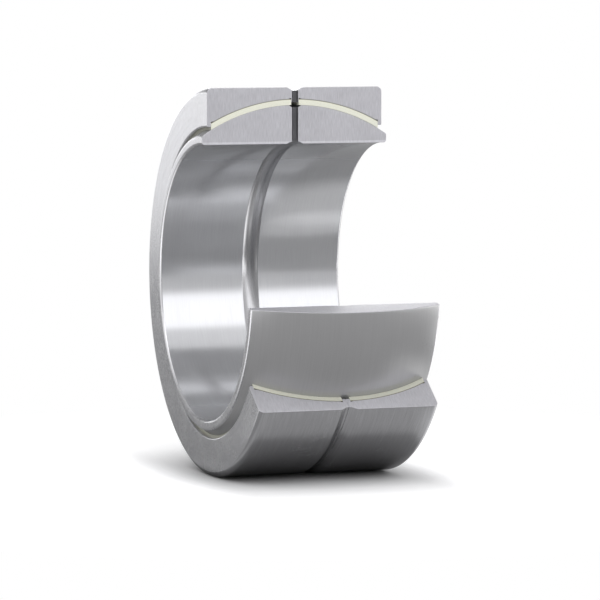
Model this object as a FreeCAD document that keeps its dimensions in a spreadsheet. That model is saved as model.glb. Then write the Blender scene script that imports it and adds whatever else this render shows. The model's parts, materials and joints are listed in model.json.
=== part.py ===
import FreeCAD, Part
import math
import os
import Sketcher
from FreeCAD import Placement, Rotation, Vector

# Radial spherical plain bearing with a sector cut out, so that its inside shows.
# The bearing axis lies along Y, Z is up, and the centre of the ball is the origin.
# Every section is drawn above the axis, in the upright plane, and turned about the axis
# away from +X. The turn stops short of a full one, which leaves the sector open.

# Sizes that can be set by themselves, in millimetres and degrees.
driving_sizes = [
    ("bore_diameter", 340, "bore for the shaft"),
    ("inner_width", 243, "inner ring along the axis"),
    ("shoulder_height", 11, "side face of the inner ring, from the bore to the ball"),
    ("bore_chamfer", 2, "chamfer at both ends of the bore"),
    ("ball_edge_radius", 4, "rounding between the side face and the ball"),
    ("bore_groove_width", 21, "oil groove round the bore"),
    ("bore_groove_depth", 3.2, "deepest point of that groove"),
    ("oil_hole_diameter", 8, "oil holes through both rings"),
    ("countersink_diameter", 17, "mouth of the oil hole in the ball"),
    ("countersink_depth", 2.7, "depth of that mouth"),
    ("running_clearance", 0.1, "between the ball and the liners"),
    ("liner_thickness", 7.3, "sliding liner"),
    ("outer_wall", 14.6, "outer ring over the liners, at its thinnest"),
    ("side_setback", 6.5, "side face of the outer ring behind that of the inner ring"),
    ("side_lip_width", 5, "lip that holds the liner at the side face"),
    ("middle_lip_width", 5, "lip that holds the liner at the seam"),
    ("lip_gap", 3.4, "lips stand off the ball by this"),
    ("lip_edge_chamfer", 1, "chamfer of the side lip"),
    ("relief_depth", 1.4, "undercut in the corners of the recess"),
    ("relief_length", 4, "length of that undercut along the axis"),
    ("outer_corner_radius", 6.5, "rounding between the side face and the outside"),
    ("seat_groove_width", 20.5, "groove round the outside, over the seam"),
    ("seat_groove_floor", 6, "flat floor of that groove"),
    ("seat_groove_depth", 4, "depth of that groove"),
    ("inner_sector", 96, "sector cut out of the inner ring"),
    ("step_sector", 30, "how much more is cut out of the outer ring"),
]

# Sizes that follow from them.
following_sizes = [
    ("bore_radius", "=bore_diameter / 2"),
    ("half_inner_width", "=inner_width / 2"),
    ("ball_radius", "=sqrt((bore_radius + shoulder_height)^2 + half_inner_width^2)"),
    ("recess_radius", "=ball_radius + running_clearance + liner_thickness"),
    ("outside_radius", "=recess_radius + outer_wall"),
    ("half_outer_width", "=half_inner_width - side_setback"),
    ("liner_end", "=half_outer_width - side_lip_width"),
    ("groove_arc_radius", "=bore_groove_width^2 / (8 * bore_groove_depth) + bore_groove_depth / 2"),
    ("hole_radius", "=oil_hole_diameter / 2"),
    ("inner_turn", "=360 - inner_sector"),
    ("outer_turn", "=inner_turn - step_sector"),
]

# A sketch's own origin, as Sketcher numbers it.
origin = (-1, 1)

doc = FreeCAD.newDocument("spherical_plain_bearing")
sheet = doc.addObject("Spreadsheet::Sheet", "sizes")


def fill_sheet():
    row = 1
    for alias, number, remark in driving_sizes:
        sheet.set(f"A{row}", alias)
        sheet.set(f"B{row}", str(number))
        sheet.set(f"C{row}", remark)
        sheet.setAlias(f"B{row}", alias)
        row += 1
    for alias, formula in following_sizes:
        sheet.set(f"A{row}", alias)
        sheet.set(f"B{row}", formula)
        sheet.setAlias(f"B{row}", alias)
        row += 1
    doc.recompute()


def size(alias):
    return float(sheet.get(alias))


def line(start, end):
    return Part.LineSegment(Vector(*start), Vector(*end))


def arc(centre, radius, start, end):
    """Arc that runs counter-clockwise from the direction of one point to that of another."""
    middle = Vector(*centre)
    first = Vector(*start) - middle
    last = Vector(*end) - middle
    circle = Part.Circle(middle, Vector(0, 0, 1), radius)
    return Part.ArcOfCircle(circle, math.atan2(first.y, first.x), math.atan2(last.y, last.x))


def point_on(radius, across):
    """Point of a circle round the ball's centre, at a distance along the axis."""
    return (across, math.sqrt(radius**2 - across**2))


class Outline:
    """Closed outline in a sketch on one of the body's own planes.

    The pieces follow each other round the outline. A piece marked clockwise is an arc that
    the outline runs through from its end to its start, and a piece marked smooth runs into
    the next one without a corner.
    """

    def __init__(self, body, name, pieces, clockwise=(), smooth=()):
        plane = next(item for item in body.Origin.OriginFeatures if item.Role == "YZ_Plane")
        self.sketch = body.newObject("Sketcher::SketchObject", name)
        self.sketch.AttachmentSupport = [(plane, "")]
        self.sketch.MapMode = "FlatFace"
        self.number = {}
        self.start = {}
        self.end = {}
        for label, shape in pieces.items():
            number = self.sketch.addGeometry(shape, False)
            first, last = (2, 1) if label in clockwise else (1, 2)
            self.number[label] = number
            self.start[label] = (number, first)
            self.end[label] = (number, last)
        labels = list(pieces)
        for label, following in zip(labels, labels[1:] + labels[:1]):
            joint = "Tangent" if label in smooth else "Coincident"
            self.hold(joint, *self.end[label], *self.start[following])

    def hold(self, kind, *what):
        return self.sketch.addConstraint(Sketcher.Constraint(kind, *what))

    def level(self, *labels):
        for label in labels:
            self.hold("Horizontal", self.number[label])

    def upright(self, *labels):
        for label in labels:
            self.hold("Vertical", self.number[label])

    def dimension(self, kind, what, drawn, formula):
        number = self.hold(kind, *what, drawn)
        self.sketch.setExpression(f"Constraints[{number}]", formula)

    def across(self, point, formula):
        """Distance of a point from the ball's middle plane."""
        self.dimension("DistanceX", (*origin, *point), self.sketch.getPoint(*point).x, formula)

    def up(self, point, formula):
        """Height of a point above the bearing axis."""
        self.dimension("DistanceY", (*origin, *point), self.sketch.getPoint(*point).y, formula)

    def away(self, point, formula):
        """Distance of a point from the ball's centre."""
        self.dimension("Distance", (*origin, *point), self.sketch.getPoint(*point).Length, formula)

    def radius(self, label, formula):
        drawn = self.sketch.Geometry[self.number[label]].Radius
        self.dimension("Radius", (self.number[label],), drawn, formula)

    def centred(self, *labels):
        """Put the centre of arcs at the ball's centre."""
        for label in labels:
            self.hold("Coincident", self.number[label], 3, *origin)

    def on_middle_plane(self, point):
        """Put a point on the sketch's own vertical axis, which Sketcher numbers -2."""
        self.hold("PointOnObject", *point, -2)


def new_body(name, turned_round=False):
    body = doc.addObject("PartDesign::Body", name)
    body.Label = name
    if turned_round:
        body.Placement = Placement(Vector(0, 0, 0), Rotation(Vector(0, 0, 1), 180))
    return body


def turned_blank(body, outline, angle, turned_round=False):
    """Turn a section about the bearing axis, from upright and away from +X.

    A body that is itself turned round faces the other way, so its turn does too.
    """
    blank = body.newObject("PartDesign::Revolution", body.Name + "_blank")
    blank.Profile = (outline.sketch, [""])
    blank.ReferenceAxis = (outline.sketch, ["H_Axis"])
    blank.setExpression("Angle", angle)
    blank.Reversed = not turned_round
    body.Tip = blank
    doc.recompute()


def cut_round(body, outline, axis, name):
    """Cut an outline out of the body, turned fully about an axis of its sketch."""
    before = body.Shape.Volume
    groove = body.newObject("PartDesign::Groove", name)
    groove.Profile = (outline.sketch, [""])
    groove.ReferenceAxis = (outline.sketch, [axis])
    groove.Angle = 360
    body.Tip = groove
    doc.recompute()
    if not body.Shape.Volume < before:
        raise ValueError(f"{name} cuts nothing out of {body.Label}")


def make_inner_ring():
    """Cylindrical bore, flat side faces and a ball-shaped outside."""
    body = new_body("inner_ring")
    side = size("half_inner_width")
    bore = size("bore_radius")
    ball = size("ball_radius")
    chamfer = size("bore_chamfer")
    rounding = size("ball_edge_radius")
    # The rounding touches the side face and, further up, the ball from inside.
    right_centre = point_on(ball - rounding, side - rounding)
    right_touch = point_on(ball, right_centre[0] * ball / (ball - rounding))
    left_centre = (-right_centre[0], right_centre[1])
    left_touch = (-right_touch[0], right_touch[1])
    outline = Outline(body, "ring_section", {
        "bore": line((chamfer - side, bore), (side - chamfer, bore)),
        "right_chamfer": line((side - chamfer, bore), (side, bore + chamfer)),
        "right_side": line((side, bore + chamfer), (side, right_centre[1])),
        "right_rounding": arc(right_centre, rounding, (side, right_centre[1]), right_touch),
        "ball": arc((0, 0), ball, right_touch, left_touch),
        "left_rounding": arc(left_centre, rounding, left_touch, (-side, left_centre[1])),
        "left_side": line((-side, left_centre[1]), (-side, bore + chamfer)),
        "left_chamfer": line((-side, bore + chamfer), (chamfer - side, bore)),
    }, smooth=("right_side", "right_rounding", "ball", "left_rounding"))
    outline.level("bore")
    outline.upright("right_side", "left_side")
    outline.centred("ball")
    outline.radius("ball", "sizes.ball_radius")
    outline.radius("right_rounding", "sizes.ball_edge_radius")
    outline.radius("left_rounding", "sizes.ball_edge_radius")
    outline.up(outline.start["bore"], "sizes.bore_radius")
    outline.across(outline.end["bore"], "sizes.half_inner_width - sizes.bore_chamfer")
    outline.across(outline.start["bore"], "sizes.bore_chamfer - sizes.half_inner_width")
    outline.across(outline.start["right_side"], "sizes.half_inner_width")
    outline.across(outline.start["left_side"], "-sizes.half_inner_width")
    outline.up(outline.start["right_side"], "sizes.bore_radius + sizes.bore_chamfer")
    outline.up(outline.end["left_side"], "sizes.bore_radius + sizes.bore_chamfer")
    turned_blank(body, outline, "sizes.inner_turn")
    cut_bore_groove(body)
    cut_oil_holes(body, countersunk=True)


def cut_bore_groove(body):
    """Shallow oil groove of arc section round the middle of the bore."""
    bore = size("bore_radius")
    half_width = size("bore_groove_width") / 2
    arc_radius = size("groove_arc_radius")
    centre = (0, bore + size("bore_groove_depth") - arc_radius)
    outline = Outline(body, "groove_section", {
        "mouth": line((-half_width, bore), (half_width, bore)),
        "floor": arc(centre, arc_radius, (half_width, bore), (-half_width, bore)),
    })
    outline.level("mouth")
    outline.up(outline.start["mouth"], "sizes.bore_radius")
    outline.across(outline.end["mouth"], "sizes.bore_groove_width / 2")
    outline.across(outline.start["mouth"], "-sizes.bore_groove_width / 2")
    outline.radius("floor", "sizes.groove_arc_radius")
    cut_round(body, outline, "H_Axis", "bore_groove")


def cut_oil_holes(body, countersunk=False):
    """One drilling upright through the whole ring, above and below the axis."""
    hole = size("hole_radius")
    if countersunk:
        mouth = size("countersink_diameter") / 2
        reach = size("ball_radius")
        neck = reach - size("countersink_depth")
        outline = Outline(body, "oil_hole_section", {
            "axis": line((0, reach), (0, -reach)),
            "low_mouth": line((0, -reach), (mouth, -reach)),
            "low_cone": line((mouth, -reach), (hole, -neck)),
            "wall": line((hole, -neck), (hole, neck)),
            "top_cone": line((hole, neck), (mouth, reach)),
            "top_mouth": line((mouth, reach), (0, reach)),
        })
        outline.upright("axis", "wall")
        outline.level("low_mouth", "top_mouth")
        outline.up(outline.start["wall"], "sizes.countersink_depth - sizes.ball_radius")
        outline.up(outline.end["wall"], "sizes.ball_radius - sizes.countersink_depth")
        outline.across(outline.end["low_mouth"], "sizes.countersink_diameter / 2")
        outline.across(outline.start["top_mouth"], "sizes.countersink_diameter / 2")
        far = "sizes.ball_radius"
    else:
        reach = size("outside_radius")
        outline = Outline(body, "oil_hole_section", {
            "axis": line((0, reach), (0, -reach)),
            "low_mouth": line((0, -reach), (hole, -reach)),
            "wall": line((hole, -reach), (hole, reach)),
            "top_mouth": line((hole, reach), (0, reach)),
        })
        outline.upright("axis", "wall")
        outline.level("low_mouth", "top_mouth")
        far = "sizes.outside_radius"
    outline.on_middle_plane(outline.start["axis"])
    outline.up(outline.start["axis"], far)
    outline.up(outline.end["axis"], "-" + far)
    outline.across(outline.start["wall"], "sizes.hole_radius")
    cut_round(body, outline, "V_Axis", "oil_holes")


def make_outer_ring_half(name, turned_round=False):
    """Half of the outer ring, from the seam at the middle plane to its side face.

    Its ball-shaped recess holds a liner between two lips, with an undercut in each corner.
    Half of the groove round the outside is a chamfer at the seam.
    """
    body = new_body(name, turned_round)
    seam_lip = size("middle_lip_width")
    liner_end = size("liner_end")
    side = size("half_outer_width")
    outside = size("outside_radius")
    recess = size("recess_radius")
    relief_radius = recess + size("relief_depth")
    relief = size("relief_length")
    lip_radius = size("ball_radius") + size("lip_gap")
    chamfer = size("lip_edge_chamfer")
    corner = size("outer_corner_radius")
    groove_edge = size("seat_groove_width") / 2
    groove_foot = size("seat_groove_floor") / 2
    groove_floor = outside - size("seat_groove_depth")

    seam_lip_edge = (seam_lip, lip_radius)
    seam_undercut = point_on(relief_radius, seam_lip)
    recess_start = point_on(recess, seam_lip + relief)
    recess_end = point_on(recess, liner_end - relief)
    side_undercut = point_on(relief_radius, liner_end)
    side_lip_inner = point_on(lip_radius, liner_end)
    side_lip_outer = (side - chamfer, side_lip_inner[1])
    lip_chamfer_top = (side, side_lip_inner[1] + chamfer)
    corner_centre = (side - corner, outside - corner)

    outline = Outline(body, "ring_section", {
        "seam_lip": line((0, lip_radius), seam_lip_edge),
        "seam_lip_wall": line(seam_lip_edge, seam_undercut),
        "seam_relief": line(seam_undercut, recess_start),
        "recess": arc((0, 0), recess, recess_end, recess_start),
        "side_relief": line(recess_end, side_undercut),
        "side_lip_wall": line(side_undercut, side_lip_inner),
        "side_lip": line(side_lip_inner, side_lip_outer),
        "lip_chamfer": line(side_lip_outer, lip_chamfer_top),
        "side_face": line(lip_chamfer_top, (side, outside - corner)),
        "corner": arc(corner_centre, corner, (side, outside - corner), (side - corner, outside)),
        "outside": line((side - corner, outside), (groove_edge, outside)),
        "groove_flank": line((groove_edge, outside), (groove_foot, groove_floor)),
        "groove_floor": line((groove_foot, groove_floor), (0, groove_floor)),
        "seam": line((0, groove_floor), (0, lip_radius)),
    }, clockwise=("recess",), smooth=("side_face", "corner"))
    outline.level("seam_lip", "side_lip", "outside", "groove_floor")
    outline.upright("seam_lip_wall", "side_lip_wall", "side_face", "seam")
    outline.centred("recess")
    outline.on_middle_plane(outline.start["seam_lip"])
    outline.up(outline.start["seam_lip"], "sizes.ball_radius + sizes.lip_gap")
    outline.across(outline.end["seam_lip"], "sizes.middle_lip_width")
    outline.away(outline.start["seam_relief"], "sizes.recess_radius + sizes.relief_depth")
    outline.across(outline.end["seam_relief"], "sizes.middle_lip_width + sizes.relief_length")
    outline.radius("recess", "sizes.recess_radius")
    outline.across(outline.start["side_relief"], "sizes.liner_end - sizes.relief_length")
    outline.across(outline.end["side_relief"], "sizes.liner_end")
    outline.away(outline.end["side_relief"], "sizes.recess_radius + sizes.relief_depth")
    outline.away(outline.start["side_lip"], "sizes.ball_radius + sizes.lip_gap")
    outline.across(outline.end["side_lip"], "sizes.half_outer_width - sizes.lip_edge_chamfer")
    outline.across(outline.end["lip_chamfer"], "sizes.half_outer_width")
    outline.dimension(
        "DistanceY",
        (*outline.start["lip_chamfer"], *outline.end["lip_chamfer"]),
        chamfer,
        "sizes.lip_edge_chamfer",
    )
    outline.radius("corner", "sizes.outer_corner_radius")
    outline.up(outline.start["outside"], "sizes.outside_radius")
    outline.across(outline.end["outside"], "sizes.seat_groove_width / 2")
    outline.across(outline.end["groove_flank"], "sizes.seat_groove_floor / 2")
    outline.up(outline.end["groove_floor"], "sizes.outside_radius - sizes.seat_groove_depth")
    turned_blank(body, outline, "sizes.outer_turn", turned_round)
    cut_oil_holes(body)


def make_liner(name, turned_round=False):
    """Sliding liner that fills one recess from lip to lip, with ends square to the axis."""
    body = new_body(name, turned_round)
    near = size("middle_lip_width")
    far = size("liner_end")
    outer = size("recess_radius")
    inner = outer - size("liner_thickness")
    outline = Outline(body, "liner_section", {
        "sliding_face": arc((0, 0), inner, point_on(inner, far), point_on(inner, near)),
        "side_end": line(point_on(inner, far), point_on(outer, far)),
        "back": arc((0, 0), outer, point_on(outer, far), point_on(outer, near)),
        "seam_end": line(point_on(outer, near), point_on(inner, near)),
    }, clockwise=("sliding_face",))
    outline.upright("side_end", "seam_end")
    outline.centred("sliding_face", "back")
    outline.radius("sliding_face", "sizes.recess_radius - sizes.liner_thickness")
    outline.radius("back", "sizes.recess_radius")
    outline.across(outline.start["side_end"], "sizes.liner_end")
    outline.across(outline.start["seam_end"], "sizes.middle_lip_width")
    turned_blank(body, outline, "sizes.outer_turn", turned_round)


def check_document():
    for item in doc.Objects:
        if "Invalid" in item.State or "Error" in item.State:
            raise ValueError(f"{item.Label} did not build: {item.State}")
        if item.isDerivedFrom("Sketcher::SketchObject") and not item.FullyConstrained:
            raise ValueError(f"{item.Label} is not fully constrained")


def write_pieces():
    os.makedirs("parts", exist_ok=True)
    for item in doc.Objects:
        if not item.isDerivedFrom("PartDesign::Body"):
            continue
        shape = item.Shape
        if shape.isNull() or not shape.isValid() or len(shape.Solids) != 1:
            raise ValueError(f"{item.Label} is not one sound solid")
        shape.exportStep(f"parts/{item.Label}.step")
        print(f"{item.Label}: {shape.Volume / 1000:.1f} cm3")


fill_sheet()
make_inner_ring()
make_outer_ring_half("outer_ring_half_back")
make_outer_ring_half("outer_ring_half_front", turned_round=True)
make_liner("liner_back")
make_liner("liner_front", turned_round=True)
doc.recompute()
check_document()
write_pieces()
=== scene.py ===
import json
import math
import bpy
import numpy as np
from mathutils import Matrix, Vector


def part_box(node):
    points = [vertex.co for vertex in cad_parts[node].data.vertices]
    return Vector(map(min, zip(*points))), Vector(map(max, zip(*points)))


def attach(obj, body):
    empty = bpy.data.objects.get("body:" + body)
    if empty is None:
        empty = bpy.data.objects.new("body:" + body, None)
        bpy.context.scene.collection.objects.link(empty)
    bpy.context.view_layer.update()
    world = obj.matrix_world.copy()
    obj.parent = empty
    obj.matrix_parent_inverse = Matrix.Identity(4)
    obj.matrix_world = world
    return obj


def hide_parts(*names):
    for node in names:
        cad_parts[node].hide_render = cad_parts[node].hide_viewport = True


# A sectioned spherical plain bearing, dressed round its CAD frame. Metres throughout.
# The bearing axis is Y, Z is up, and angles round the axis start at +X and pass over the top.

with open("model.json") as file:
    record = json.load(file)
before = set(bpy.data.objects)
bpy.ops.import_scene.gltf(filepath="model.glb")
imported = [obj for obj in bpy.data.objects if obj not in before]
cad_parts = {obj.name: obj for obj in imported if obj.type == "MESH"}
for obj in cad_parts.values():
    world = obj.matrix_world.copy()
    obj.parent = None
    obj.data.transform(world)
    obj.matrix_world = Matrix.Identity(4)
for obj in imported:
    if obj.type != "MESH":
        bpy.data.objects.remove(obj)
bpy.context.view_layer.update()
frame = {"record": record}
print("frame loaded")

# sizes that come with the frame, so that these pieces follow the CAD model
mounts = {mount["name"]: mount["dims"] for mount in frame["record"]["mounts"]}
boreRadius = mounts["shaft_bore"]["r_mm"] / 1000
ballRadius = -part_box("inner_ring")[0].x
outsideRadius = mounts["housing_seat"]["r_mm"] / 1000
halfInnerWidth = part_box("inner_ring")[1].y
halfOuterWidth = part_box("outer_ring_half_back")[1].y
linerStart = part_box("liner_back")[0].y
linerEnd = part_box("liner_back")[1].y
recessRadius = math.hypot(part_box("liner_back")[0].x, linerStart)
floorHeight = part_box("outer_ring_half_back")[0].z


# Outlines

def arcOf(centre, radius, startDegrees, endDegrees, steps):
    # point(u) = centre + radius * (cos a, sin a), with a running evenly from start to end
    angles = np.radians(np.linspace(startDegrees, endDegrees, steps + 1))
    return np.stack([centre[0] + radius * np.cos(angles), centre[1] + radius * np.sin(angles)], 1)


def onCircle(radius, across):
    # point of a circle round the ball's centre, at a distance along the axis
    return (across, math.sqrt(radius ** 2 - across ** 2))


def joinOutline(*stretches):
    # closed outline in (along the axis, away from the axis); each stretch ends where the next starts
    points = np.concatenate([np.asarray(stretch, float)[:-1] for finish, stretch in stretches])
    finishes = np.concatenate([np.full(len(stretch) - 1, finish) for finish, stretch in stretches])
    return points, finishes


def easeCorners(points, finishes, reach, copies=3, sharpDegrees=20, mostOfSide=0.4):
    # a corner P between A and C, a reach away on both sides, becomes (1-u)^2 A + 2u(1-u) P + u^2 C
    back = points - np.roll(points, 1, 0)
    ahead = np.roll(points, -1, 0) - points
    backLength = np.linalg.norm(back, axis=1, keepdims=True)
    aheadLength = np.linalg.norm(ahead, axis=1, keepdims=True)
    back = back / backLength
    ahead = ahead / aheadLength
    sharp = (back * ahead).sum(1) < math.cos(math.radians(sharpDegrees))
    before = points - back * np.minimum(reach, mostOfSide * backLength)
    after = points + ahead * np.minimum(reach, mostOfSide * aheadLength)
    repeats = np.where(sharp, copies, 1)
    index = np.repeat(np.arange(len(points)), repeats)
    order = np.arange(len(index)) - np.repeat(np.cumsum(repeats) - repeats, repeats)
    u = (order / (copies - 1))[:, None]
    eased = (1 - u) ** 2 * before[index] + 2 * u * (1 - u) * points[index] + u ** 2 * after[index]
    newPoints = np.where(sharp[index][:, None], eased, points[index])
    early = sharp[index] & (order < (copies - 1) / 2)
    newFinishes = np.where(early, finishes[index - 1], finishes[index])
    return newPoints, newFinishes


def mirrorOutline(points, finishes):
    # (along, away) becomes (-along, away), read the other way round, and each side keeps its finish
    return points[::-1] * (-1, 1), np.roll(finishes[::-1], -1)


def insetOutline(points, depth):
    # every corner moves inwards along its mitre, so that each side moves by the depth
    along = np.roll(points, -1, 0) - points
    along = along / np.linalg.norm(along, axis=1, keepdims=True)
    outward = np.stack([along[:, 1], -along[:, 0]], 1)
    earlier = np.roll(outward, 1, 0)
    mitre = (outward + earlier) / (1 + (outward * earlier).sum(1, keepdims=True))
    return points - depth * mitre


# Pieces

def makePiece(name, vertices, faces, finishes, materials):
    mesh = bpy.data.meshes.new(name)
    mesh.from_pydata(vertices.tolist(), [], faces)
    for material in materials:
        mesh.materials.append(material)
    mesh.polygons.foreach_set("material_index", np.asarray(finishes, np.int32))
    mesh.update()
    piece = bpy.data.objects.new(name, mesh)
    bpy.context.scene.collection.objects.link(piece)
    return piece


def sweepRound(name, outline, shape, materials):
    # vertex(i, j) = (r cos t, y, r sin t): outline point j carried round the axis to angle t of ring i.
    # The rings next to both sections lie on a quarter round, so that the section has an eased rim.
    # Rim and section get the first of the materials.
    points, finishes = outline
    start, end = np.radians(shape["turn"])
    rim = shape["sectionRim"]
    rimSteps = shape["rimSteps"]
    quarter = np.radians(np.linspace(0, 90, rimSteps + 1))
    insets = rim * (1 - np.sin(quarter))
    offsets = rim * (1 - np.cos(quarter))
    rimRings = np.stack([insetOutline(points, inset) for inset in insets])
    steps = round(math.degrees(end - start) / shape["ringStep"])
    inner = np.linspace(start, end, steps + 1)[1:-1]
    innerRings = np.tile(points, (len(inner), 1, 1))
    rings = np.concatenate([rimRings, innerRings, rimRings[::-1]])
    across = rings[:, :, 0]
    radii = rings[:, :, 1]
    startAngles = start + offsets[:, None] / rimRings[:, :, 1]
    endAngles = (end - offsets[:, None] / rimRings[:, :, 1])[::-1]
    innerAngles = np.tile(inner[:, None], (1, len(points)))
    angles = np.concatenate([startAngles, innerAngles, endAngles])
    vertices = np.stack([radii * np.cos(angles), across, radii * np.sin(angles)], 2).reshape(-1, 3)
    corner = np.arange(angles.size).reshape(angles.shape)
    nextPoint = np.roll(corner, -1, 1)
    quads = np.stack([corner[:-1], corner[1:], nextPoint[1:], nextPoint[:-1]], 2).reshape(-1, 4)
    quadFinishes = np.tile(finishes, (len(corner) - 1, 1))
    quadFinishes[:rimSteps] = 0
    quadFinishes[-rimSteps:] = 0
    caps = [corner[0].tolist(), corner[-1][::-1].tolist()]
    allFinishes = np.concatenate([quadFinishes.ravel(), [0, 0]])
    return makePiece(name, vertices, quads.tolist() + caps, allFinishes, materials)


def turnUpright(name, heights, radii, sides, materials):
    # vertex(i, j) = (r_i cos a_j, r_i sin a_j, z_i): a turned pin that stands on Z, for drilling.
    # It carries the drilled piece's materials, so that the hole's wall gets the last of them.
    angles = np.linspace(0, 2 * np.pi, sides, endpoint=False)
    radius = np.asarray(radii)[:, None]
    height = np.repeat(np.asarray(heights)[:, None], sides, 1)
    vertices = np.stack([radius * np.cos(angles), radius * np.sin(angles), height], 2).reshape(-1, 3)
    corner = np.arange(len(vertices)).reshape(len(radii), sides)
    nextSide = np.roll(corner, -1, 1)
    quads = np.stack([corner[:-1], nextSide[:-1], nextSide[1:], corner[1:]], 2).reshape(-1, 4)
    faces = quads.tolist() + [corner[0][::-1].tolist(), corner[-1].tolist()]
    return makePiece(name, vertices, faces, np.full(len(faces), len(materials) - 1), materials)


def drill(piece, drillPin):
    cut = piece.modifiers.new("drilling", "BOOLEAN")
    cut.operation = "DIFFERENCE"
    cut.solver = "MANIFOLD"  # both meshes are closed, and so is what it leaves
    cut.object = drillPin
    graph = bpy.context.evaluated_depsgraph_get()
    drilled = bpy.data.meshes.new_from_object(piece.evaluated_get(graph))
    piece.modifiers.clear()
    piece.data = drilled


def smoothOut(piece, sharpDegrees=50):
    piece.data.shade_smooth()
    piece.data.set_sharp_from_angle(angle=math.radians(sharpDegrees))
    weighted = piece.modifiers.new("even shading", "WEIGHTED_NORMAL")
    weighted.mode = "FACE_AREA"
    weighted.weight = 100  # large faces decide, so they stay flat up to their eased edges
    weighted.keep_sharp = True


# Nodes

def addNode(nodes, kind, **settings):
    node = nodes.new(kind)
    for key, setting in settings.items():
        setattr(node, key, setting)
    return node


def feed(tree, socket, source):
    # an output is linked to the socket, and a colour or a number is set on it
    if isinstance(source, bpy.types.NodeSocket):
        tree.links.new(source, socket)
    elif isinstance(source, tuple):
        socket.default_value = (*source, 1)
    else:
        socket.default_value = source


def calculate(tree, operation, *sources):
    node = addNode(tree.nodes, "ShaderNodeMath", operation=operation)
    for socket, source in zip(node.inputs, sources):
        feed(tree, socket, source)
    return node.outputs[0]


def combine(tree, *parts):
    node = tree.nodes.new("ShaderNodeCombineXYZ")
    for socket, part in zip(node.inputs, parts):
        feed(tree, socket, part)
    return node.outputs[0]


def splitPlace(tree, place):
    node = tree.nodes.new("ShaderNodeSeparateXYZ")
    tree.links.new(place, node.inputs[0])
    return node.outputs


def distanceFrom(tree, place, centre=(0, 0, 0)):
    node = addNode(tree.nodes, "ShaderNodeVectorMath", operation="DISTANCE")
    node.inputs[1].default_value = centre
    tree.links.new(place, node.inputs[0])
    return node.outputs["Value"]


def noiseAt(tree, vector, scale, detail, roughness):
    node = tree.nodes.new("ShaderNodeTexNoise")
    node.inputs["Scale"].default_value = scale
    node.inputs["Detail"].default_value = detail
    node.inputs["Roughness"].default_value = roughness
    tree.links.new(vector, node.inputs["Vector"])
    return node.outputs["Fac"]


def spread(tree, source, low, high, fromLow=0.3, fromHigh=0.7):
    # the source's range fromLow to fromHigh becomes low to high; most of a noise lies from 0.3 to 0.7
    node = addNode(tree.nodes, "ShaderNodeMapRange", clamp=True)
    node.inputs["From Min"].default_value = fromLow
    node.inputs["From Max"].default_value = fromHigh
    node.inputs["To Min"].default_value = low
    node.inputs["To Max"].default_value = high
    tree.links.new(source, node.inputs["Value"])
    return node.outputs["Result"]


def blendColours(tree, factor, first, second, way="MIX"):
    node = addNode(tree.nodes, "ShaderNodeMix", data_type="RGBA", blend_type=way)
    feed(tree, node.inputs["Factor"], factor)
    feed(tree, node.inputs[6], first)  # 6 and 7 are the node's colours A and B, and output 2 its colour
    feed(tree, node.inputs[7], second)
    return node.outputs[2]


def blendShaders(tree, factor, first, second):
    node = tree.nodes.new("ShaderNodeMixShader")
    for socket, source in zip(node.inputs, (factor, first, second)):
        tree.links.new(source, socket)
    return node.outputs[0]


def addBump(tree, shader, height, look):
    bump = tree.nodes.new("ShaderNodeBump")
    bump.inputs["Strength"].default_value = look["bump"]
    bump.inputs["Distance"].default_value = look["bumpHeight"]
    tree.links.new(height, bump.inputs["Height"])
    tree.links.new(bump.outputs[0], shader.inputs["Normal"])


# Finishes

def newMaterial(name, roughness, metallic):
    material = bpy.data.materials.new(name)
    material.use_nodes = True
    tree = material.node_tree
    shader = tree.nodes["Principled BSDF"]
    shader.inputs["Metallic"].default_value = metallic
    shader.inputs["Roughness"].default_value = roughness
    place = tree.nodes.new("ShaderNodeTexCoord").outputs["Object"]
    return material, tree, shader, place


def roundPlace(tree, place):
    # the place split into its direction round the axis, its distance from it and its height along it
    x, y, z = splitPlace(tree, place)
    radius = calculate(tree, "SQRT", calculate(tree, "ADD", calculate(tree, "MULTIPLY", x, x),
                                               calculate(tree, "MULTIPLY", z, z)))
    return calculate(tree, "DIVIDE", x, radius), calculate(tree, "DIVIDE", z, radius), radius, y


# detail and roughness of the noises that all steels share
steelNoise = {
    "lineRoughness": 0.65,
    "cloudDetail": 3.0,
    "cloudRoughness": 0.55,
    "speckDetail": 2.0,
    "speckRoughness": 0.7,
}


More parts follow.
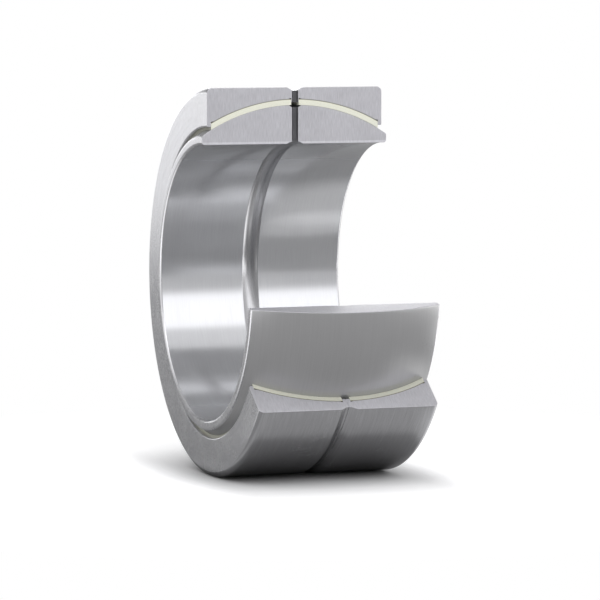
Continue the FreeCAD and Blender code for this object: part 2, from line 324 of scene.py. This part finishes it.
def steelFinish(name, look):
    # Steel whose grain runs one way: noise that changes fast across the grain and slowly along it.
    material, tree, shader, place = newMaterial(name, look["roughness"], look["metallic"])
    turnX, turnZ, radius, along = roundPlace(tree, place)
    fine = look["fine"]
    slow = look["slow"]
    if look["grain"] == "drawn":
        vector = combine(tree, calculate(tree, "MULTIPLY", along, fine),
                         calculate(tree, "MULTIPLY", radius, slow), 0.0)
    else:
        crossing = along if look["grain"] == "turned" else radius  # else it is faced
        vector = combine(tree, calculate(tree, "MULTIPLY", turnX, slow),
                         calculate(tree, "MULTIPLY", crossing, fine),
                         calculate(tree, "MULTIPLY", turnZ, slow))
    lines = noiseAt(tree, vector, 1.0, look["detail"], steelNoise["lineRoughness"])
    clouds = noiseAt(tree, place, look["cloudScale"], steelNoise["cloudDetail"], steelNoise["cloudRoughness"])
    specks = noiseAt(tree, place, look["speckScale"], steelNoise["speckDetail"], steelNoise["speckRoughness"])
    colour = blendColours(tree, spread(tree, lines, 0, 1), look["dark"], look["light"])
    tint = blendColours(tree, spread(tree, clouds, 0, 1), look["cloudDark"], (1.0, 1.0, 1.0))
    if "highlightReach" in look:  # painted highlight: a lighter band on the section along the bore's edge
        edge = boreRadius + look["highlightReach"]
        pastHighlight = spread(tree, radius, 0, 1, edge - look["highlightBlur"], edge + look["highlightBlur"])
        tint = blendColours(tree, pastHighlight, look["highlightTint"], tint)
    feed(tree, shader.inputs["Base Color"], blendColours(tree, 1, colour, tint, "MULTIPLY"))
    drift = calculate(tree, "MULTIPLY", spread(tree, clouds, -1, 1), look["roughnessDrift"])
    scatter = calculate(tree, "MULTIPLY", spread(tree, specks, -1, 1), look["roughnessDrift"])
    rough = calculate(tree, "ADD", calculate(tree, "ADD", drift, scatter), look["roughness"])
    feed(tree, shader.inputs["Roughness"], rough)
    height = calculate(tree, "ADD", calculate(tree, "MULTIPLY", lines, look["lineShare"]),
                       calculate(tree, "MULTIPLY", specks, 1 - look["lineShare"]))
    addBump(tree, shader, height, look)
    return material


def linerFinish(name, look):
    # Cream fibre and resin, with the dark bond line at its back, told by the distance from the ball's centre.
    material, tree, shader, place = newMaterial(name, look["roughness"], 0)
    bond = spread(tree, distanceFrom(tree, place), 0, 1, recessRadius - look["bondStart"],
                  recessRadius - look["bondEnd"])
    fibres = noiseAt(tree, place, look["fibreScale"], look["fibreDetail"], look["fibreRoughness"])
    clouds = noiseAt(tree, place, look["cloudScale"], look["cloudDetail"], look["cloudRoughness"])
    mixed = blendColours(tree, spread(tree, fibres, 0, 1), look["dark"], look["light"])
    mixed = blendColours(tree, spread(tree, clouds, 0, look["warmShare"]), mixed, look["warm"])
    mixed = blendColours(tree, bond, mixed, look["bond"])
    # painted shade and light: the colour is scaled by height with the look's lower factor, so the stock is
    # painted darker and the ends lighter towards the bottom
    height = splitPlace(tree, place)["Z"]
    shaded = addNode(tree.nodes, "ShaderNodeVectorMath", operation="SCALE")
    feed(tree, shaded.inputs[0], mixed)
    feed(tree, shaded.inputs["Scale"], spread(tree, height, look["paintedLowerShading"], 1, *look["paintedShadingHeights"]))
    feed(tree, shader.inputs["Base Color"], shaded.outputs[0])
    rough = spread(tree, fibres, look["roughness"] - look["roughnessDrift"],
                   look["roughness"] + look["roughnessDrift"])
    feed(tree, shader.inputs["Roughness"], rough)
    addBump(tree, shader, fibres, look)
    return material


# The grain is drawn along a section, turned round the axis or faced in rings. Fine and slow are its
# noise scales across and along it, and lineShare is its share of the bump, which specks fill up.
sectionLook = {
    "grain": "drawn", "fine": 900.0, "slow": 90.0, "detail": 4.0, "lineShare": 0.7,
    "dark": (0.49, 0.485, 0.515), "light": (0.63, 0.625, 0.66),
    "cloudScale": 25.0, "cloudDark": (0.94, 0.94, 0.94), "speckScale": 1800.0,
    "metallic": 0.5, "roughness": 0.36, "roughnessDrift": 0.03, "bump": 0.35, "bumpHeight": 0.00012,
    # painted highlight: within this reach of the bore's edge the section's colour is tinted lighter
    "highlightReach": 0.003, "highlightBlur": 0.0003, "highlightTint": (1.25, 1.25, 1.25),
}
boreLook = {
    "grain": "turned", "fine": 1400.0, "slow": 5.0, "detail": 3.0, "lineShare": 0.95,
    "dark": (0.525, 0.53, 0.543), "light": (0.595, 0.60, 0.613),
    "cloudScale": 12.0, "cloudDark": (0.95, 0.95, 0.955), "speckScale": 900.0,
    "metallic": 0.7, "roughness": 0.15, "roughnessDrift": 0.015, "bump": 0.1, "bumpHeight": 0.00006,
}
# painted shade: the groove's steel is coloured darker than the bore's, for the shade in the groove
grooveShadeLook = {
    **boreLook,
    "dark": (0.36, 0.36, 0.37), "light": (0.44, 0.44, 0.45),
    "metallic": 0.9, "roughness": 0.22,
}
ballLook = {
    "grain": "turned", "fine": 800.0, "slow": 3.0, "detail": 2.0, "lineShare": 0.9,
    "dark": (0.47, 0.47, 0.475), "light": (0.50, 0.50, 0.505),
    "cloudScale": 8.0, "cloudDark": (0.97, 0.97, 0.97), "speckScale": 900.0,
    "metallic": 0.6, "roughness": 0.3, "roughnessDrift": 0.015, "bump": 0.05, "bumpHeight": 0.00004,
}
sideLook = {
    "grain": "faced", "fine": 1100.0, "slow": 6.0, "detail": 4.0, "lineShare": 0.6,
    "dark": (0.585, 0.585, 0.60), "light": (0.715, 0.715, 0.73),
    "cloudScale": 30.0, "cloudDark": (0.94, 0.94, 0.95), "speckScale": 1500.0,
    "metallic": 1.0, "roughness": 0.26, "roughnessDrift": 0.03, "bump": 0.25, "bumpHeight": 0.00008,
}
outsideLook = {
    "grain": "turned", "fine": 1100.0, "slow": 6.0, "detail": 4.0, "lineShare": 0.8,
    "dark": (0.54, 0.54, 0.555), "light": (0.67, 0.67, 0.685),
    "cloudScale": 18.0, "cloudDark": (0.94, 0.94, 0.945), "speckScale": 1200.0,
    "metallic": 1.0, "roughness": 0.23, "roughnessDrift": 0.03, "bump": 0.2, "bumpHeight": 0.00008,
}
outsideGrooveLook = {**outsideLook, "roughness": 0.16, "bump": 0.1}
# painted shade: the drilled holes' walls are coloured near black for the shade inside them
holeShadeLook = {
    "grain": "turned", "fine": 900.0, "slow": 900.0, "detail": 3.0, "lineShare": 0.5,
    "dark": (0.13, 0.13, 0.14), "light": (0.19, 0.19, 0.20),
    "cloudScale": 60.0, "cloudDark": (0.8, 0.8, 0.8), "speckScale": 1500.0,
    "metallic": 1.0, "roughness": 0.45, "roughnessDrift": 0.05, "bump": 0.3, "bumpHeight": 0.0001,
}
linerLook = {
    "dark": (0.75, 0.75, 0.63), "light": (0.87, 0.88, 0.77),
    "warm": (0.86, 0.85, 0.70), "warmShare": 0.35,
    "bond": (0.22, 0.21, 0.14), "bondStart": 0.0008, "bondEnd": 0.0003,
    "fibreScale": 700.0, "fibreDetail": 3.0, "fibreRoughness": 0.7,
    "cloudScale": 40.0, "cloudDetail": 2.0, "cloudRoughness": 0.5,
    # painted shade: the cut stock is painted darker towards the bottom, down to this share below the lower
    # height
    "paintedLowerShading": 0.62, "paintedShadingHeights": (-0.14, -0.02),
    "roughness": 0.62, "roughnessDrift": 0.08, "bump": 0.3, "bumpHeight": 0.00015,
}
# painted shade: the liner's end faces are coloured dark for the shade in the gaps between rings and ball, and
# painted lighter towards the bottom
linerEndShadeLook = {
    **linerLook,
    "dark": (0.20, 0.20, 0.17), "light": (0.30, 0.30, 0.26), "warm": (0.26, 0.25, 0.20),
    "paintedLowerShading": 1.6,
}

sectionSteel = steelFinish("sectionSteel", sectionLook)
boreSteel = steelFinish("boreSteel", boreLook)
grooveShadeSteel = steelFinish("grooveShadeSteel", grooveShadeLook)
ballSteel = steelFinish("ballSteel", ballLook)
sideSteel = steelFinish("sideSteel", sideLook)
outsideSteel = steelFinish("outsideSteel", outsideLook)
outsideGrooveSteel = steelFinish("outsideGrooveSteel", outsideGrooveLook)
holeShadeSteel = steelFinish("holeShadeSteel", holeShadeLook)
linerStock = linerFinish("linerStock", linerLook)
linerEndsInShade = linerFinish("linerEndsInShade", linerEndShadeLook)
print("finishes made")


# Inner ring

innerRing = {
    "turn": (90, 354),  # degrees round the axis that are left of the ring
    "ringStep": 1.0,
    "sectionRim": 0.0006,
    "rimSteps": 2,
    "boreChamfer": 0.002,
    "sideRounding": 0.004,
    "roundingSteps": 6,
    "ballSteps": 60,
    "grooveWidth": 0.021,
    "grooveDepth": 0.0032,
    "grooveSteps": 14,
    "edgeReach": 0.0009,
    "holeRadius": 0.004,
    "mouthRadius": 0.0085,
    "mouthDepth": 0.0027,
    "drillOver": 0.003,  # the mouth's cone carries on outside the ball
    "drillSides": 64,
}


def innerOutline(shape):
    # Section of the ring: the bore with the groove's arc, the back side face and its rounding, the arc
    # of the ball, and the front side face. Finishes are places in the ring's list of materials.
    bore, side, ball, grooved = range(1, 5)
    width = halfInnerWidth
    chamfer = shape["boreChamfer"]
    rounding = shape["sideRounding"]
    halfGroove = shape["grooveWidth"] / 2
    grooveRadius = halfGroove ** 2 / (2 * shape["grooveDepth"]) + shape["grooveDepth"] / 2
    grooveAngle = math.degrees(math.asin(halfGroove / grooveRadius))
    grooveCentre = (0, boreRadius + shape["grooveDepth"] - grooveRadius)
    groove = arcOf(grooveCentre, grooveRadius, 90 + grooveAngle, 90 - grooveAngle, shape["grooveSteps"])
    backCentre = onCircle(ballRadius - rounding, width - rounding)
    frontCentre = (-backCentre[0], backCentre[1])
    ballAngle = math.degrees(math.atan2(backCentre[1], backCentre[0]))
    backRound = arcOf(backCentre, rounding, 0, ballAngle, shape["roundingSteps"])
    ballArc = arcOf((0, 0), ballRadius, ballAngle, 180 - ballAngle, shape["ballSteps"])
    frontRound = arcOf(frontCentre, rounding, 180 - ballAngle, 180, shape["roundingSteps"])
    return joinOutline(
        (bore, [(chamfer - width, boreRadius), groove[0]]),
        (grooved, groove),
        (bore, [groove[-1], (width - chamfer, boreRadius)]),
        (side, [(width - chamfer, boreRadius), (width, boreRadius + chamfer), backRound[0]]),
        (side, backRound),
        (ball, ballArc),
        (side, frontRound),
        (side, [frontRound[-1], (-width, boreRadius + chamfer), (chamfer - width, boreRadius)]),
    )


def makeInnerRing(shape):
    outline = easeCorners(*innerOutline(shape), shape["edgeReach"])
    materials = [sectionSteel, boreSteel, sideSteel, ballSteel, grooveShadeSteel, holeShadeSteel]
    ring = sweepRound("innerRing", outline, shape, materials)
    hole = shape["holeRadius"]
    neck = ballRadius - shape["mouthDepth"]
    top = ballRadius + shape["drillOver"]
    slope = (shape["mouthRadius"] - hole) / shape["mouthDepth"]
    flare = shape["mouthRadius"] + shape["drillOver"] * slope
    drillPin = turnUpright("innerDrill", [-top, -neck, neck, top], [flare, hole, hole, flare],
                           shape["drillSides"], materials)
    drill(ring, drillPin)
    bpy.data.objects.remove(drillPin)
    smoothOut(ring)
    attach(ring, "inner_ring")
    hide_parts("inner_ring")


makeInnerRing(innerRing)
print("inner ring made")


# Outer ring

outerRing = {
    "turn": (90, 324),
    "ringStep": 1.0,
    "sectionRim": 0.0006,
    "rimSteps": 2,
    "lipGap": 0.0034,
    "lipChamfer": 0.001,
    "reliefDepth": 0.0014,
    "reliefLength": 0.004,
    "recessSteps": 30,
    "cornerRadius": 0.0065,
    "cornerSteps": 8,
    "grooveWidth": 0.0205,
    "grooveFloor": 0.006,
    "grooveDepth": 0.004,
    "edgeReach": 0.0009,
    "holeRadius": 0.004,
    "drillOver": 0.01,
    "drillSides": 64,
}


def outerOutline(shape):
    # Section of the back half: the seam's lip, the arc of the recess with an undercut at both ends, the
    # side's lip and face, the rounded corner, the outside and half of its groove.
    outside, side, grooved = range(1, 4)
    width = halfOuterWidth
    lipRadius = ballRadius + shape["lipGap"]
    reliefRadius = recessRadius + shape["reliefDepth"]
    corner = shape["cornerRadius"]
    cornerCentre = (width - corner, outsideRadius - corner)
    seamLip = (linerStart, lipRadius)
    seamUndercut = onCircle(reliefRadius, linerStart)
    recessStart = onCircle(recessRadius, linerStart + shape["reliefLength"])
    recessEnd = onCircle(recessRadius, linerEnd - shape["reliefLength"])
    sideUndercut = onCircle(reliefRadius, linerEnd)
    sideLip = onCircle(lipRadius, linerEnd)
    lipFace = (width - shape["lipChamfer"], sideLip[1])
    lipChamfer = (width, sideLip[1] + shape["lipChamfer"])
    startAngle = math.degrees(math.atan2(recessStart[1], recessStart[0]))
    endAngle = math.degrees(math.atan2(recessEnd[1], recessEnd[0]))
    recess = arcOf((0, 0), recessRadius, startAngle, endAngle, shape["recessSteps"])
    rounding = arcOf(cornerCentre, corner, 0, 90, shape["cornerSteps"])
    grooveEdge = (shape["grooveWidth"] / 2, outsideRadius)
    grooveFoot = (shape["grooveFloor"] / 2, outsideRadius - shape["grooveDepth"])
    grooveEnd = (0, grooveFoot[1])
    return joinOutline(
        (side, [(0, lipRadius), seamLip, seamUndercut, recessStart]),
        (side, recess),
        (side, [recessEnd, sideUndercut, sideLip, lipFace, lipChamfer, rounding[0]]),
        (outside, rounding),
        (outside, [rounding[-1], grooveEdge]),
        (grooved, [grooveEdge, grooveFoot, grooveEnd]),
        (side, [grooveEnd, (0, lipRadius)]),
    )


def makeOuterHalf(name, node, outline, shape, materials, drillPin):
    half = sweepRound(name, outline, shape, materials)
    drill(half, drillPin)
    smoothOut(half)
    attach(half, "outer_ring")
    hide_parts(node)


def makeOuterRing(shape):
    back = easeCorners(*outerOutline(shape), shape["edgeReach"])
    front = mirrorOutline(*back)
    top = outsideRadius + shape["drillOver"]
    hole = shape["holeRadius"]
    materials = [sectionSteel, outsideSteel, sideSteel, outsideGrooveSteel, holeShadeSteel]
    drillPin = turnUpright("outerDrill", [-top, top], [hole, hole], shape["drillSides"], materials)
    makeOuterHalf("outerRingBack", "outer_ring_half_back", back, shape, materials, drillPin)
    makeOuterHalf("outerRingFront", "outer_ring_half_front", front, shape, materials, drillPin)
    bpy.data.objects.remove(drillPin)


makeOuterRing(outerRing)
print("outer ring made")


# Liners

liner = {
    "turn": (90, 324),
    "ringStep": 1.5,
    "sectionRim": 0.0002,
    "rimSteps": 1,
    "thickness": 0.0073,
    "arcSteps": 30,
    "edgeReach": 0.0004,
}


def linerOutline(shape):
    # Section of the back liner: two arcs round the ball's centre, joined by its ends at both lips.
    stock, end = range(2)
    slidingRadius = recessRadius - shape["thickness"]
    slidingAngles = [math.degrees(math.acos(along / slidingRadius)) for along in (linerStart, linerEnd)]
    backAngles = [math.degrees(math.acos(along / recessRadius)) for along in (linerEnd, linerStart)]
    slidingFace = arcOf((0, 0), slidingRadius, *slidingAngles, shape["arcSteps"])
    back = arcOf((0, 0), recessRadius, *backAngles, shape["arcSteps"])
    return joinOutline(
        (stock, slidingFace),
        (end, [slidingFace[-1], back[0]]),
        (stock, back),
        (stock, [back[-1], slidingFace[0]]),
    )


def makeLiner(name, node, outline, shape):
    piece = sweepRound(name, outline, shape, [linerStock, linerEndsInShade])
    smoothOut(piece)
    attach(piece, "outer_ring")
    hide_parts(node)


linerSection = easeCorners(*linerOutline(liner), liner["edgeReach"])
makeLiner("linerBack", "liner_back", linerSection, liner)
makeLiner("linerFront", "liner_front", mirrorOutline(*linerSection), liner)
print("liners made")


# Studio

studioLook = {
    # degrees round the bearing axis from +X over the top, and how bright the studio is there
    "bands": (
        (-180, 1.17), (-160, 0.8), (-90, 0.45), (-12, 0.5), (-3, 0.72), (9, 0.78), (15, 2.2), (41, 2.2),
        (43, 1.12), (54, 1.12), (60, 1.1), (74, 0.85), (82, 0.55), (125, 0.55), (134, 0.3), (154, 0.2),
        (159, 2.2), (170, 2.2), (175, 0.45), (180, 0.45),
    ),
    "brightest": 2.2,
    "blueShare": 1.01,
    # the bands turn by bandLean degrees while the direction's Y grows by 1, and stand true at leanFrom,
    # which is the Y of all that bore and sections mirror
    "bandLean": 30.0,
    "leanFrom": 0.34,
    # towards the ends of the bearing axis the bands run together, so they give way to a plain glow
    "endStart": 0.6,
    "endFull": 0.9,
    "frontGlow": 1.1,
    "backGlow": 1.1,
    "glowChange": (-0.5, 0.5),
}


def makeWorld(look):
    world = bpy.data.worlds.new("studio")
    bpy.context.scene.world = world
    world.use_nodes = True
    tree = world.node_tree
    tree.nodes.clear()
    brightest = look["brightest"]
    x, y, z = splitPlace(tree, tree.nodes.new("ShaderNodeTexCoord").outputs["Generated"])
    turn = calculate(tree, "ARCTAN2", z, x)
    lean = calculate(tree, "MULTIPLY", calculate(tree, "SUBTRACT", y, look["leanFrom"]),
                     math.radians(look["bandLean"]))
    bandPlace = spread(tree, calculate(tree, "ADD", turn, lean), 0, 1, -math.pi, math.pi)
    ramp = tree.nodes.new("ShaderNodeValToRGB")
    elements = ramp.color_ramp.elements
    while len(elements) < len(look["bands"]):
        elements.new(0.5)  # its place is set below
    for element, (degrees, bright) in zip(elements, look["bands"]):
        element.position = (degrees + 180) / 360
        level = bright / brightest
        element.color = (level, level, level * look["blueShare"], 1)
    feed(tree, ramp.inputs[0], bandPlace)
    towardsEnd = spread(tree, calculate(tree, "ABSOLUTE", y), 0, 1, look["endStart"], look["endFull"])
    endLevel = spread(tree, y, look["frontGlow"] / brightest, look["backGlow"] / brightest,
                      *look["glowChange"])
    lit = tree.nodes.new("ShaderNodeBackground")
    feed(tree, lit.inputs["Color"], blendColours(tree, towardsEnd, ramp.outputs[0], endLevel))
    feed(tree, lit.inputs["Strength"], brightest)
    white = tree.nodes.new("ShaderNodeBackground")
    feed(tree, white.inputs["Color"], (1, 1, 1))
    seen = tree.nodes.new("ShaderNodeLightPath").outputs["Is Camera Ray"]
    out = tree.nodes.new("ShaderNodeOutputWorld")
    feed(tree, out.inputs["Surface"], blendShaders(tree, seen, lit.outputs[0], white.outputs[0]))


floorLook = {
    "reach": 4.2,
    "sides": 96,
    "endPull": 5.0,  # how many times over a step past the ring's side faces counts as a step aside
    # what the metal mirrors is grey paper with a painted shadow, darker where the ring stands
    "grey": 0.34,
    "paintedShadowGrey": 0.1,
    "contactReach": (0.02, 0.17),
    # a strip of light along the ring, as far from where it stands as the bright part of the outside mirrors
    "stripGlow": 0.115,
    "stripStart": (0.145, 0.155),
    "stripEnd": (0.24, 0.28),
    # pools of light that only the metal mirrors: centre, brightness, and where it fades
    "pools": (
        ((0.02, 0.27), 0.42, (0.1, 0.17)),
        ((0.16, 0.24), 0.4, (0.08, 0.12)),
        ((-0.2, 0.75), 2.2, (0.22, 0.4)),
        ((0.05, 1.45), 2.2, (0.25, 0.42)),
        ((1.0, 2.5), 3.0, (0.9, 1.35)),
        ((0.6, -2.0), 1.3, (1.1, 1.45)),
        ((-0.2, -0.78), 1.1, (0.36, 0.5)),
    ),
    # what the camera sees is paper with a painted shadow, coloured greyer near the ring, and a plain white
    # glow further out
    "shadowWhite": 0.47,
    "paperWhite": 1.35,  # over 1, because less than white light falls on the paper
    "paperReach": (0.0, 0.29),
    "fadeReach": (0.4, 0.8),
}


def makeFloor(look):
    material = bpy.data.materials.new("floorPaper")
    material.use_nodes = True
    tree = material.node_tree
    tree.nodes.clear()
    place = tree.nodes.new("ShaderNodeTexCoord").outputs["Object"]
    x, y = splitPlace(tree, place)[:2]
    beyond = calculate(tree, "SUBTRACT", calculate(tree, "ABSOLUTE", y), halfOuterWidth)
    pulled = calculate(tree, "MULTIPLY", calculate(tree, "MAXIMUM", beyond, 0.0), look["endPull"])
    aside = distanceFrom(tree, combine(tree, x, pulled, 0.0))
    # what the metal mirrors: the grey paper with its painted shadow, its strip and its pools of light
    grey = tree.nodes.new("ShaderNodeBsdfDiffuse")
    feed(tree, grey.inputs["Color"],
         spread(tree, aside, look["paintedShadowGrey"], look["grey"], *look["contactReach"]))
    stripStart = spread(tree, aside, 0, look["stripGlow"], *look["stripStart"])
    stripEnd = spread(tree, aside, look["stripGlow"], 0, *look["stripEnd"])
    glows = calculate(tree, "MINIMUM", stripStart, stripEnd)
    for centre, glow, reach in look["pools"]:
        fromPool = distanceFrom(tree, place, (*centre, floorHeight))
        glows = calculate(tree, "ADD", glows, spread(tree, fromPool, glow, 0, *reach))
    glowing = tree.nodes.new("ShaderNodeEmission")
    feed(tree, glowing.inputs["Strength"], glows)
    mirrored = tree.nodes.new("ShaderNodeAddShader")
    feed(tree, mirrored.inputs[0], grey.outputs[0])
    feed(tree, mirrored.inputs[1], glowing.outputs[0])
    # what the camera sees: white paper that keeps the ring's shadow, deepened by a painted shadow in its
    # colour near the ring
    shadowed = tree.nodes.new("ShaderNodeBsdfDiffuse")
    feed(tree, shadowed.inputs["Color"],
         spread(tree, aside, look["shadowWhite"], look["paperWhite"], *look["paperReach"]))
    white = tree.nodes.new("ShaderNodeEmission")
    faded = spread(tree, distanceFrom(tree, place), 0, 1, *look["fadeReach"])
    paper = blendShaders(tree, faded, shadowed.outputs[0], white.outputs[0])
    seen = tree.nodes.new("ShaderNodeLightPath").outputs["Is Camera Ray"]
    out = tree.nodes.new("ShaderNodeOutputMaterial")
    feed(tree, out.inputs["Surface"], blendShaders(tree, seen, mirrored.outputs[0], paper))
    angles = np.linspace(0, 2 * np.pi, look["sides"], endpoint=False)
    rim = look["reach"] * np.stack([np.cos(angles), np.sin(angles), np.zeros(len(angles))], 1)
    rim[:, 2] = floorHeight
    floor = makePiece("studioFloor", rim, [list(range(len(rim)))], [0], [material])


cameraLook = {
    "azimuth": 70.01,
    "elevation": 4.658,
    "target": (0, 0.00656, -0.02466),
    "distance": 4.962,
    "lens": 239.1,
    "sensor": 36.0,
    "clip": (0.1, 50.0),
}


def makeCamera(look):
    azimuth = math.radians(look["azimuth"])
    elevation = math.radians(look["elevation"])
    back = Vector((math.sin(azimuth) * math.cos(elevation), -math.cos(azimuth) * math.cos(elevation),
                   math.sin(elevation)))
    camera = bpy.data.objects.new("photoCamera", bpy.data.cameras.new("photoCamera"))
    bpy.context.scene.collection.objects.link(camera)
    camera.data.sensor_width = look["sensor"]
    camera.data.lens = look["lens"]
    camera.data.clip_start, camera.data.clip_end = look["clip"]
    camera.location = Vector(look["target"]) + back * look["distance"]
    camera.rotation_euler = (-back).to_track_quat("-Z", "Y").to_euler()
    bpy.context.scene.camera = camera


makeWorld(studioLook)
makeFloor(floorLook)
makeCamera(cameraLook)
bpy.context.scene.view_settings.view_transform = "Standard"
print("studio made")
